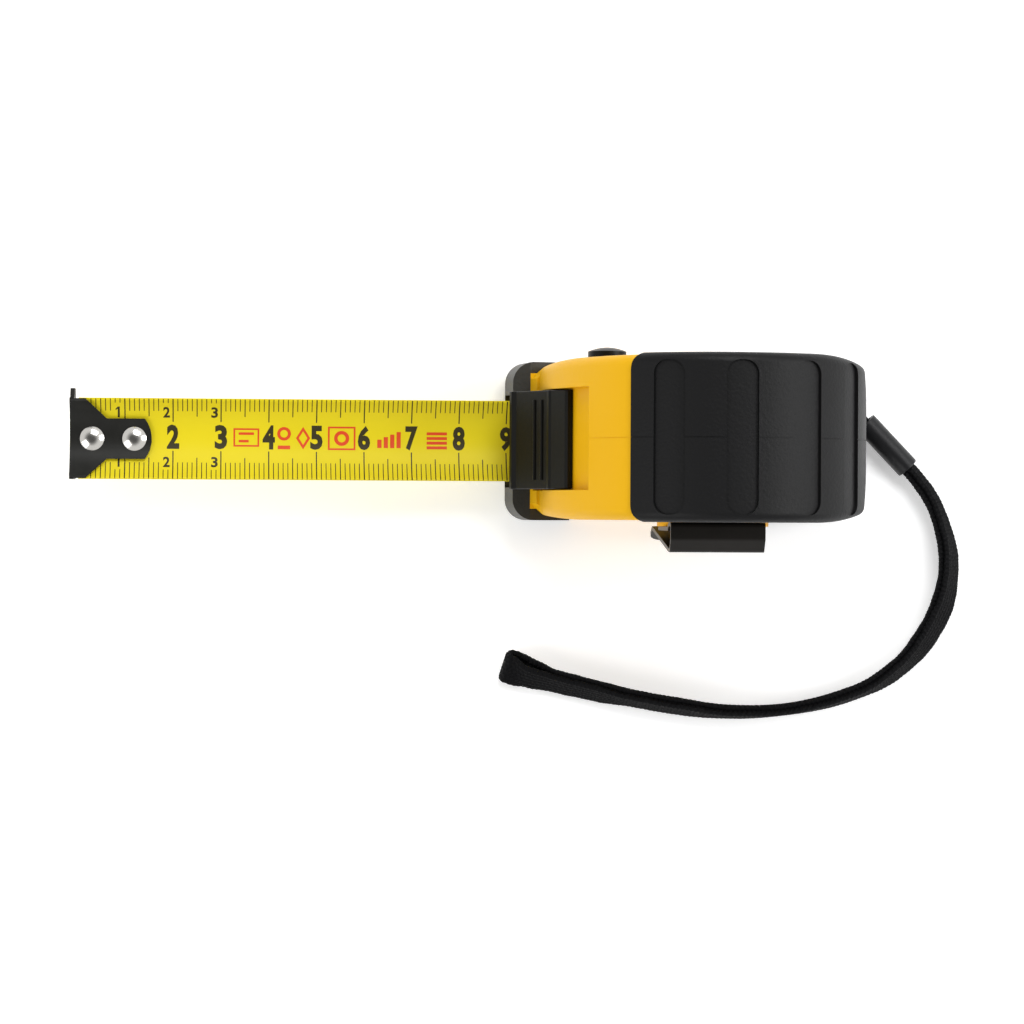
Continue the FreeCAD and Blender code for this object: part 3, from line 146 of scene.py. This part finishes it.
def mottled(paint, scale, dark, light):
    """A soft change of colour over the piece."""
    tree = paint.node_tree
    shader = tree.nodes["Principled BSDF"]
    place = add_node(tree, "ShaderNodeTexCoord")
    noise = add_node(tree, "ShaderNodeTexNoise", Scale=scale, Detail=3.0)
    mix = add_node(tree, "ShaderNodeMix", data_type="RGBA")
    colours = [s for s in mix.inputs if s.type == "RGBA"]
    colours[0].default_value = (*dark, 1)
    colours[1].default_value = (*light, 1)
    tree.links.new(place.outputs["Object"], noise.inputs["Vector"])
    tree.links.new(noise.outputs["Fac"], mix.inputs[0])
    tree.links.new([s for s in mix.outputs if s.type == "RGBA"][0], shader.inputs["Base Color"])
    return paint


def woven(paint, pitch_u, pitch_v, depth):
    """A basket weave over the strap's own length and width, which its UV map gives in millimetres."""
    tree = paint.node_tree
    place = add_node(tree, "ShaderNodeUVMap", uv_map="weave")
    split = add_node(tree, "ShaderNodeSeparateXYZ")
    tree.links.new(place.outputs["UV"], split.inputs["Vector"])

    def math_node(operation, a, b=None):
        made = add_node(tree, "ShaderNodeMath", operation=operation)
        for number, value in enumerate((a, b)):
            if value is None:
                continue
            if isinstance(value, (int, float)):
                made.inputs[number].default_value = value
            else:
                tree.links.new(value, made.inputs[number])
        return made.outputs["Value"]

    row = math_node("MULTIPLY", split.outputs["X"], math.pi / pitch_u)
    column = math_node("DIVIDE", split.outputs["Y"], pitch_v)
    shift = math_node("MULTIPLY", math_node("FLOOR", column), math.pi / 2)
    along = math_node("ABSOLUTE", math_node("SINE", math_node("ADD", row, shift)))
    across = math_node("ABSOLUTE", math_node("SINE", math_node("MULTIPLY", column, math.pi)))
    height = math_node("MULTIPLY", math_node("POWER", along, 0.7), math_node("POWER", across, 0.5))
    bump = add_node(tree, "ShaderNodeBump", Strength=1.0, Distance=depth)
    tree.links.new(height, bump.inputs["Height"])
    shader = tree.nodes["Principled BSDF"]
    tree.links.new(bump.outputs["Normal"], shader.inputs["Normal"])
    return paint


def glowing(paint, strength):
    """A white acrylic table lit softly from below."""
    shader = paint.node_tree.nodes["Principled BSDF"]
    shader.inputs["Emission Color"].default_value = (1, 1, 1, 1)
    shader.inputs["Emission Strength"].default_value = strength
    return paint


def moulded(name, colour, rough, specular, scale, depth):
    """Grained plastic or rubber."""
    return grained(material(name, colour, rough, specular=specular), scale, depth)


def metal(name, colour, rough, scale, depth, metallic=1.0, stretch=(1, 1, 1)):
    return grained(material(name, colour, rough, metallic=metallic), scale, depth, stretch)


def painted(name, colour, rough, specular, scale, dark, light):
    """Paint that changes softly between two close colours."""
    return mottled(material(name, colour, rough, specular=specular), scale, dark, light)


def build_materials():
    """Every material, by the look that LOOKS names."""
    return {
        "yellow": moulded("yellow_shell", (0.74, 0.4, 0.004), 0.42, 0.12, 900, 0.00006),
        "grip": moulded("grip_rubber", (0.004, 0.004, 0.0043), 0.48, 0.18, 1500, 0.0001),
        "bumper": moulded("bumper_rubber", (0.02, 0.019, 0.014), 0.45, 0.45, 1500, 0.00008),
        "lock": moulded("lock_plastic", (0.003, 0.003, 0.002), 0.34, 0.16, 1200, 0.00004),
        "blade": painted(
            "blade_paint", (0.67, 0.55, 0.012), 0.45, 0.14, 60,
            (0.65, 0.53, 0.01), (0.7, 0.575, 0.014),
        ),
        "print_black": material("print_black", (0.03, 0.024, 0.004), 0.5, specular=0.3),
        "print_red": material("print_red", (0.62, 0.06, 0.01), 0.5, specular=0.3),
        "hook": painted(
            "hook_paint", (0.01, 0.01, 0.009), 0.4, 0.15, 300,
            (0.008, 0.008, 0.007), (0.018, 0.018, 0.016),
        ),
        "nickel": metal("nickel", (0.72, 0.7, 0.66), 0.16, 800, 0.00002),
        "zinc": metal("zinc", (0.55, 0.55, 0.55), 0.32, 800, 0.00004),
        "black_screw": metal("black_screw", (0.03, 0.03, 0.03), 0.35, 700, 0.00003, metallic=0.6),
        "clip": painted(
            "clip_paint", (0.01, 0.008, 0.007), 0.36, 0.22, 200,
            (0.007, 0.006, 0.005), (0.014, 0.012, 0.01),
        ),
        "spring": metal("spring_steel", (0.3, 0.31, 0.34), 0.3, 400, 0.00002, stretch=(1, 8, 1)),
        "inner": moulded("inner_plastic", (0.42, 0.42, 0.4), 0.5, 0.5, 800, 0.00005),
        "brake": moulded("brake_rubber", (0.03, 0.03, 0.03), 0.75, 0.5, 1200, 0.0001),
        "label": painted(
            "label", (0.02, 0.02, 0.021), 0.3, 0.4, 120,
            (0.016, 0.016, 0.017), (0.03, 0.03, 0.031),
        ),
        "webbing": woven(
            material("webbing", (0.0025, 0.0025, 0.003), 0.7, specular=0.1),
            pitch_u=1.0, pitch_v=0.9, depth=0.00026,
        ),
        "cord": moulded("cord", (0.004, 0.004, 0.005), 0.7, 0.12, 1800, 0.00015),
        "sleeve": moulded("sleeve", (0.006, 0.006, 0.007), 0.4, 0.35, 900, 0.00006),
        "floor": glowing(material("floor", (0.92, 0.92, 0.92), 0.85, specular=0.1), 0.3),
    }


LOOKS = {
    "case_left": "yellow", "case_right": "yellow", "grip_left": "grip", "grip_right": "grip",
    "bumper_left": "bumper", "bumper_right": "bumper", "mouth_guide": "inner", "reel_arbor": "inner",
    "lever_pin": "zinc", "belt_clip": "clip", "clip_screw": "black_screw", "case_screws": "zinc",
    "side_label": "label", "strap_pin": "zinc", "strap_string": "cord", "strap_sleeve": "sleeve",
    "strap_webbing": "webbing", "reel_drum": "inner", "reel_flange": "inner", "blade_coil": "blade",
    "power_spring": "spring", "blade": "blade", "hook_rivets": "nickel", "end_hook": "hook",
    "lock_slider": "lock", "lock_lever": "inner", "brake_shoe": "brake", "stop_button": "lock",
    "button_pad": "brake", "button_spring": "spring",
}


def new_piece(name, mesh, looks):
    """Shows a mesh as an object with these materials."""
    for look in looks:
        mesh.materials.append(look)
    made = bpy.data.objects.new(name, mesh)
    bpy.context.collection.objects.link(made)
    return made


def tube(name, vertices, count, look):
    """A smooth closed tube whose vertices come in rings of count points."""
    rings = len(vertices) // count
    faces = []
    for row in range(rings - 1):
        for k in range(count):
            a, b = row * count + k, row * count + (k + 1) % count
            faces.append((a, b, b + count, a + count))
    faces.append(tuple(range(count))[::-1])
    faces.append(tuple((rings - 1) * count + k for k in range(count)))
    mesh = bpy.data.meshes.new(name)
    mesh.from_pydata(vertices, [], faces)
    mesh.polygons.foreach_set("use_smooth", [True] * len(mesh.polygons))
    return new_piece(name, mesh, [look])


# ---------------------------------------------------------------- blade, in its own directions

TILT = math.radians(5)
OUTWARD = Vector((-math.cos(TILT), 0, math.sin(TILT)))
ACROSS = Vector((math.sin(TILT), 0, math.cos(TILT)))
REEL = Vector((5.75, 0, 30))
COIL_R = 25.6
TANGENT = REEL - ACROSS * COIL_R            # where the strip leaves the coil
ARC_R = 11.6                # radius of the strip's curved section
THICK = 0.14
HALF = 9.5                  # half the strip's width, laid flat
EDGE = 8.42                 # the same as seen from above
INNER_S = 0.25              # distances along the strip from the tangent: its inner end,
FLAT_RUN = 20.0             # where its section has its full curve,
BLADE_END = 129.93          # its outer end,
ZERO_S = 130.4              # and the scale's zero, at the hook
FLATTEST = 0.02             # least curve of the section, as a share of the full one
BLADE_STEPS, BLADE_SIDES = 150, 24
PRINT_STRIP = 0.6           # the print is cut into strips this wide to follow the curve
PRINT_LIFT = 0.012


def on_blade(s, flat, lift):
    """A point of the strip: s out from the coil, flat across it, lift above its lower side."""
    curve = min(max((s - INNER_S) / (FLAT_RUN - INNER_S), FLATTEST), 1)
    radius = ARC_R / curve
    turn = flat / radius
    reach = radius - lift
    sideways = Vector((0, reach * math.sin(turn), 0))
    spot = TANGENT + OUTWARD * s + sideways + ACROSS * (radius - reach * math.cos(turn))
    return spot * MM


def blade_mesh(look):
    """The strip as a closed shell of fine rings along its length."""
    ring = [(HALF * (2 * i / BLADE_SIDES - 1), THICK) for i in range(BLADE_SIDES + 1)]
    ring += [(flat, 0) for flat, _ in ring[::-1]]
    vertices = []
    for step in range(BLADE_STEPS + 1):
        s = INNER_S + (BLADE_END - INNER_S) * step / BLADE_STEPS
        vertices += [on_blade(s, flat, lift) for flat, lift in ring]
    return tube("blade_strip", vertices, len(ring), look)


BLACK, RED = 0, 1           # the print's two materials


class Print:
    """Flat shapes in (s, across) millimetres that are laid on the blade's concave side."""

    def __init__(self):
        self.sheet = bmesh.new()

    def polygon(self, points, colour):
        face = self.sheet.faces.new([self.sheet.verts.new((x, y, 0)) for x, y in points])
        face.material_index = colour

    def bar(self, x0, x1, y0, y1, colour=BLACK):
        self.polygon([(x0, y0), (x1, y0), (x1, y1), (x0, y1)], colour)

    def frame(self, x0, x1, y0, y1, wide, colour):
        """A rectangle's outline, wide across its line."""
        self.bar(x0, x1, y0, y0 + wide, colour)
        self.bar(x0, x1, y1 - wide, y1, colour)
        self.bar(x0, x0 + wide, y0 + wide, y1 - wide, colour)
        self.bar(x1 - wide, x1, y0 + wide, y1 - wide, colour)

    def ring(self, x, y, outer, inner, colour, sides=28, shape=1.0):
        """A ring with this many sides, shape times as high as wide."""
        turns = [2 * math.pi * k / sides for k in range(sides)]
        around = [(math.cos(turn), math.sin(turn)) for turn in turns]
        for (c0, s0), (c1, s1) in zip(around, around[1:] + around[:1]):
            self.polygon(
                [(x + outer * c0, y + outer * s0 * shape), (x + outer * c1, y + outer * s1 * shape),
                 (x + inner * c1, y + inner * s1 * shape), (x + inner * c0, y + inner * s0 * shape)],
                colour,
            )

    def digits(self, text, x, y, wide, high, bold, colour=BLACK):
        """A number drawn with the built-in face, fitted to a box centred on (x, y)."""
        if text == "1":
            self.one(x, y, wide, high, colour)
            return
        curve = bpy.data.curves.new("digit", "FONT")
        curve.body = text
        curve.offset = bold
        curve.resolution_u = 3
        letter = bpy.data.objects.new("digit", curve)
        bpy.context.collection.objects.link(letter)
        mesh = bpy.data.meshes.new_from_object(letter)
        spots = [v.co.copy() for v in mesh.vertices]
        left, right = min(p.x for p in spots), max(p.x for p in spots)
        low, top = min(p.y for p in spots), max(p.y for p in spots)
        for face in mesh.polygons:
            corners = []
            for k in face.vertices:
                px = (spots[k].x - (left + right) / 2) / (right - left) * wide
                py = (spots[k].y - (low + top) / 2) / (top - low) * high
                corners.append((x + px, y + py))
            self.polygon(corners, colour)
        bpy.data.objects.remove(letter)
        bpy.data.meshes.remove(mesh)

    def one(self, x, y, wide, high, colour):
        """The figure 1: a stem with a flag at its top."""
        stem, top, low = 0.3 * wide, y + high / 2, y - high / 2
        right = x + 0.2 * wide
        self.bar(right - stem, right, low, top, colour)
        flag = [(right - stem, top - 0.02 * high), (right - stem, top - 0.2 * high)]
        flag += [(x - 0.42 * wide, top - 0.34 * high), (x - 0.42 * wide, top - 0.2 * high)]
        self.polygon(flag, colour)

    def laid(self, name, looks):
        """Wraps the shapes onto the blade; x runs from the scale's zero towards the case."""
        cuts = int(HALF / PRINT_STRIP) + 1
        for k in range(-cuts, cuts + 1):
            everything = self.sheet.verts[:] + self.sheet.edges[:] + self.sheet.faces[:]
            bmesh.ops.bisect_plane(
                self.sheet, geom=everything, plane_co=(0, k * PRINT_STRIP, 0), plane_no=(0, 1, 0)
            )
        for v in self.sheet.verts:
            flat = ARC_R * math.asin(max(-1, min(1, v.co.y / ARC_R)))
            v.co = on_blade(ZERO_S - v.co.x, flat, THICK + PRINT_LIFT)
        mesh = bpy.data.meshes.new(name)
        self.sheet.to_mesh(mesh)
        self.sheet.free()
        return new_piece(name, mesh, looks)


MARKED = 106                # millimetres of scale printed
# inner ends of a tick at the two edges, and its line's width
CENTIMETRE_TICK = (3.67, -2.5, 0.24)
HALF_TICK = (4.78, -3.94, 0.2)
MILLIMETRE_TICK = (5.91, -4.95, 0.17)
CUT_TICK = (7.57, -6.5, 0.17)               # beside a small number
FIGURE_Y, FIGURE_WIDE, FIGURE_HIGH, FIGURE_BOLD = 0.5, 2.6, 5.15, 0.045
SMALL_WIDE, SMALL_HIGH, SMALL_BOLD = 1.4, 2.24, 0.03
SMALL_BACK, SMALL_ROWS, SMALL_TO = 1.35, (5.65, -4.85), 3
TWO_FIGURES = 1.6           # width of a number with two figures, in widths of one


def ticks(sheet):
    """The millimetre scale along both edges."""
    for mm in range(1, MARKED + 1):
        if mm % 10 == 0:
            top, low, wide = CENTIMETRE_TICK
        elif mm % 5 == 0:
            top, low, wide = HALF_TICK
        elif mm % 10 in (8, 9) and mm < 10 * SMALL_TO:
            top, low, wide = CUT_TICK
        else:
            top, low, wide = MILLIMETRE_TICK
        sheet.bar(mm - wide / 2, mm + wide / 2, top, EDGE)
        sheet.bar(mm - wide / 2, mm + wide / 2, -EDGE, low)


def figures(sheet):
    """A number at each centimetre, and small ones at both edges near the hook."""
    for cm in range(1, MARKED // 10 + 1):
        wide = FIGURE_WIDE * (TWO_FIGURES if cm > 9 else 1)
        sheet.digits(str(cm), 10 * cm, FIGURE_Y, wide, FIGURE_HIGH, FIGURE_BOLD)
        if cm <= SMALL_TO:
            for y in SMALL_ROWS:
                sheet.digits(str(cm), 10 * cm - SMALL_BACK, y, SMALL_WIDE, SMALL_HIGH, SMALL_BOLD)


def red_marks(sheet):
    """Plain shapes in red between the numbers."""
    sheet.frame(32.6, 38.0, -1.5, 2.4, 0.36, RED)
    sheet.bar(33.7, 36.9, 1.0, 1.55, RED)
    sheet.bar(33.7, 35.8, -0.6, -0.05, RED)
    sheet.ring(43.2, 1.3, 1.45, 0.8, RED)
    sheet.bar(41.9, 44.5, -2.0, -1.2, RED)
    sheet.ring(47.2, 0.4, 1.5, 0.9, RED, sides=4, shape=1.6)
    sheet.frame(52.4, 58.2, -2.1, 2.9, 0.38, RED)
    sheet.ring(55.3, 0.4, 1.6, 0.85, RED)
    for step in range(4):
        sheet.bar(62.8 + 1.35 * step, 63.7 + 1.35 * step, -1.6, 0.2 + 0.55 * step, RED)
    for line in range(4):
        sheet.bar(73.2, 77.5, line - 1.8, line - 1.16, RED)


def scale_print(looks):
    sheet = Print()
    ticks(sheet)
    figures(sheet)
    red_marks(sheet)
    return sheet.laid("blade_scale", looks)


# ---------------------------------------------------------------- wrist strap

REAR_X = 36.95              # the case's rear
SLEEVE_START = Vector((REAR_X + 2.75, 4.5, 3.45))
SLEEVE_END = Vector((REAR_X + 11.95, -5.15, 2.8))
LEAD_RUN = 5.4              # straight on from the sleeve
LEAD = SLEEVE_END + (SLEEVE_END - SLEEVE_START).normalized() * LEAD_RUN
ROUTE = [tuple(SLEEVE_END), tuple(LEAD)] + [
    (56.0, -15.9, 3.2), (57.9, -24.3, 3.3), (57.0, -33.1, 3.3), (52.6, -42.1, 3.4),
    (44.8, -49.9, 3.5), (34.1, -54.5, 3.6), (21.7, -57.0, 3.6), (8.6, -57.3, 3.5),
    (-5.35, -55.2, 3.3), (-17.85, -52.8, 3.0), (-27.85, -50.4, 2.8), (-35.75, -47.8, 2.5),
]
BAND_WIDE, BAND_THICK, BAND_APART = 6.7, 1.4, 0.6
SETTLE_RUN = 14             # from the sleeve to where the band rests on the table
TABLE_GAP = 0.12
OPEN_RUN, OPEN_BY = 9, 0.75                 # the fold's end stands open
OPEN_SHARE = 0.62           # of half a wave, reached at the fold
FOLD_STEPS, FOLD_ROUND = 12, 0.9
STEP = 0.28                 # between rows of the band's mesh
COLUMNS = 14                # across the band
LOOP_PITCH, LOOP_DEEP = 0.95, 0.16          # the woven loops on both faces
SELVEDGE_PITCH, SELVEDGE_OUT, SELVEDGE_THIN = 1.45, 0.26, 0.72
# how far the band leans from lying flat, in degrees, at shares of its length
LEAN = (
    (0.0, 66), (0.12, 64), (0.18, 60), (0.25, 52), (0.29, 54), (0.36, 65), (0.44, 78), (0.56, 85),
    (0.64, 81), (0.72, 73), (0.8, 72), (0.86, 62), (0.92, 59), (0.97, 50), (1.0, 24),
)
# its width as a share of the full width, at distances from the sleeve
NECK = ((0.0, 0.58), (8.0, 0.64), (22.0, 0.96), (30.0, 1.0), (400.0, 1.0))


def strap_line():
    """Points along the strap's middle, read from a NURBS curve through its route."""
    curve = bpy.data.curves.new("strap_line", "CURVE")
    curve.dimensions = "3D"
    spline = curve.splines.new("NURBS")
    spline.points.add(len(ROUTE) - 1)
    for point, spot in zip(spline.points, ROUTE):
        point.co = (*(Vector(spot) * MM), 1)
    spline.order_u = 3
    spline.use_endpoint_u = True
    spline.resolution_u = 40
    holder = bpy.data.objects.new("strap_line", curve)
    bpy.context.collection.objects.link(holder)
    mesh = bpy.data.meshes.new_from_object(holder)
    points = [v.co / MM for v in mesh.vertices]
    bpy.data.objects.remove(holder)
    bpy.data.meshes.remove(mesh)
    return points


def at_share(pairs, share):
    """The value at a share, eased between the pairs around it."""
    for (x0, y0), (x1, y1) in zip(pairs, pairs[1:]):
        if share <= x1:
            t = (share - x0) / (x1 - x0)
            t = t * t * (3 - 2 * t)
            return y0 + (y1 - y0) * t
    return pairs[-1][1]


def resampled(points, step):
    """The same line with points a fixed step apart, and its length."""
    out, left = [points[0]], step
    total = 0.0
    for a, b in zip(points, points[1:]):
        run = (b - a).length
        total += run
        done = 0.0
        while run - done >= left:
            done += left
            out.append(a + (b - a) * (done / run))
            left = step
        left -= run - done
    return out, total


def band_frames(line):
    """At each point of the line: place, way, and the band's width and thickness directions."""
    frames = []
    last = len(line) - 1
    for k, spot in enumerate(line):
        way = (line[min(k + 1, last)] - line[max(k - 1, 0)]).normalized()
        side = way.cross(Vector((0, 0, 1))).normalized()
        up = side.cross(way).normalized()
        lean = math.radians(at_share(LEAN, k / last))
        half = BAND_WIDE / 2 * at_share(NECK, k * STEP)
        rest = half * math.sin(lean) + (BAND_THICK / 2 + BAND_APART) * math.cos(lean) + TABLE_GAP
        settled = min(1, k * STEP / SETTLE_RUN)
        spot = spot + Vector((0, 0, (rest - spot.z) * settled))
        wide = side * math.cos(lean) + up * math.sin(lean)
        flat = up * math.cos(lean) - side * math.sin(lean)
        frames.append((spot, way, wide, flat))
    return frames


def band_rows(frames):
    """Rows of the band out, round the fold and back.

    Each has its place, width way, thickness way, run along the band and distance from the sleeve.
    """
    last = len(frames) - 1
    open_from = int(last - OPEN_RUN / STEP)

    def gap(k):
        """Half the distance between the two layers' middles."""
        t = max(0, (k - open_from) / (last - open_from))
        return BAND_APART + OPEN_BY * math.sin(math.pi * min(t * OPEN_SHARE, 1))

    rows = []
    for k, (spot, way, wide, flat) in enumerate(frames):
        rows.append((spot + flat * gap(k), wide, flat, k * STEP, k * STEP))
    spot, way, wide, flat = frames[last]
    bend = gap(last)
    for k in range(1, FOLD_STEPS):
        a = math.pi * k / FOLD_STEPS
        here = spot + flat * (bend * math.cos(a)) + way * (bend * FOLD_ROUND * math.sin(a))
        out = flat * math.cos(a) + way * math.sin(a)
        rows.append((here, wide, out, last * STEP + bend * a, last * STEP))
    for k in range(last, -1, -1):
        spot, way, wide, flat = frames[k]
        run = (2 * last - k) * STEP + bend * math.pi
        rows.append((spot - flat * gap(k), wide, -flat, run, k * STEP))
    return rows


def band_ring(run, neck):
    """The band's section, with the woven loops standing out of both faces and both edges."""
    half, thick = BAND_WIDE / 2 * neck, BAND_THICK / 2
    ring = []
    for face in (1, -1):
        for k in range(COLUMNS + 1):
            across = 2 * k / COLUMNS - 1
            x = face * across * (half - 0.2)
            loop = math.sin(math.pi * (run / LOOP_PITCH + (k % 2) * 0.5)) ** 2
            edge = SELVEDGE_THIN if k in (0, COLUMNS) else 1
            ring.append((x, -face * (thick * edge - LOOP_DEEP * (1 - loop))))
        phase = math.pi * run / SELVEDGE_PITCH + 0.5 * math.sin(run * 0.7)
        edge_loop = SELVEDGE_OUT * math.sin(phase) ** 2
        ring.append((face * (half - 0.1 + edge_loop), 0))
    return ring


def strap_band(look):
    """One flat woven band that goes out, folds at the far end and comes back pressed against itself."""
    line, length = resampled(strap_line(), STEP)
    vertices, spans = [], []
    rows = band_rows(band_frames(line))
    for spot, wide, flat, run, along in rows:
        waver = 0.1 * math.sin(run * 0.55) + 0.06 * math.sin(run * 1.7 + 1)
        for x, y in band_ring(run, at_share(NECK, along)):
            vertices.append((spot + wide * (x + waver) + flat * y) * MM)
        spans.append(run)
    count = 2 * COLUMNS + 4
    band = tube("strap_band", vertices, count, look)
    weave = band.data.uv_layers.new(name="weave")
    pitch = 2 * BAND_WIDE / count
    for face in band.data.polygons:
        corners = [(band.data.loops[c].vertex_index, c) for c in face.loop_indices]
        wraps = {v % count for v, _ in corners} >= {0, count - 1}
        for vertex, corner in corners:
            row, k = divmod(vertex, count)
            weave.data[corner].uv = (spans[row], pitch * (count if wraps and k == 0 else k))
    return band, [p * MM for p in line], length * MM


# ---------------------------------------------------------------- scene


def build_strap(looks):
    band, strap_path, strap_length = strap_band(looks["webbing"])
    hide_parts("strap_webbing")
    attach(band, "case")


def dress_nodes(looks):
    for name, node in NODES.items():
        node.data.materials.clear()
        node.data.materials.append(looks[LOOKS[name]])


def build_blade(looks):
    """The strip and its print, built in place."""
    strip = blade_mesh(looks["blade"])
    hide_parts("blade")
    scale = scale_print([looks["print_black"], looks["print_red"]])
    for piece in (strip, scale):
        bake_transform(piece)


def lay_floor(look):
    bpy.ops.mesh.primitive_plane_add(size=FLOOR_SIZE, location=(0, 0, -FLOOR_DROP))
    floor = bpy.context.object
    floor.data.materials.append(look)


def light_studio():
    make_world(above=0.12, around=1.0, strength=0.8)
    soft_light("key", (0.25, 0.75, 1.1), aim=(0.0, 0, 0.02), size=(0.7, 0.5), power=9)
    soft_light("rear", (0.9, 0.1, 0.6), aim=(0.0, 0, 0.03), size=(0.4, 0.6), power=5)
    soft_light("fill", (-0.7, -0.5, 0.9), aim=(0.0, 0, 0.03), size=(0.6, 0.6), power=4)


make_camera()
looks = build_materials()
build_strap(looks)
dress_nodes(looks)
build_blade(looks)
lay_floor(looks["floor"])
light_studio()
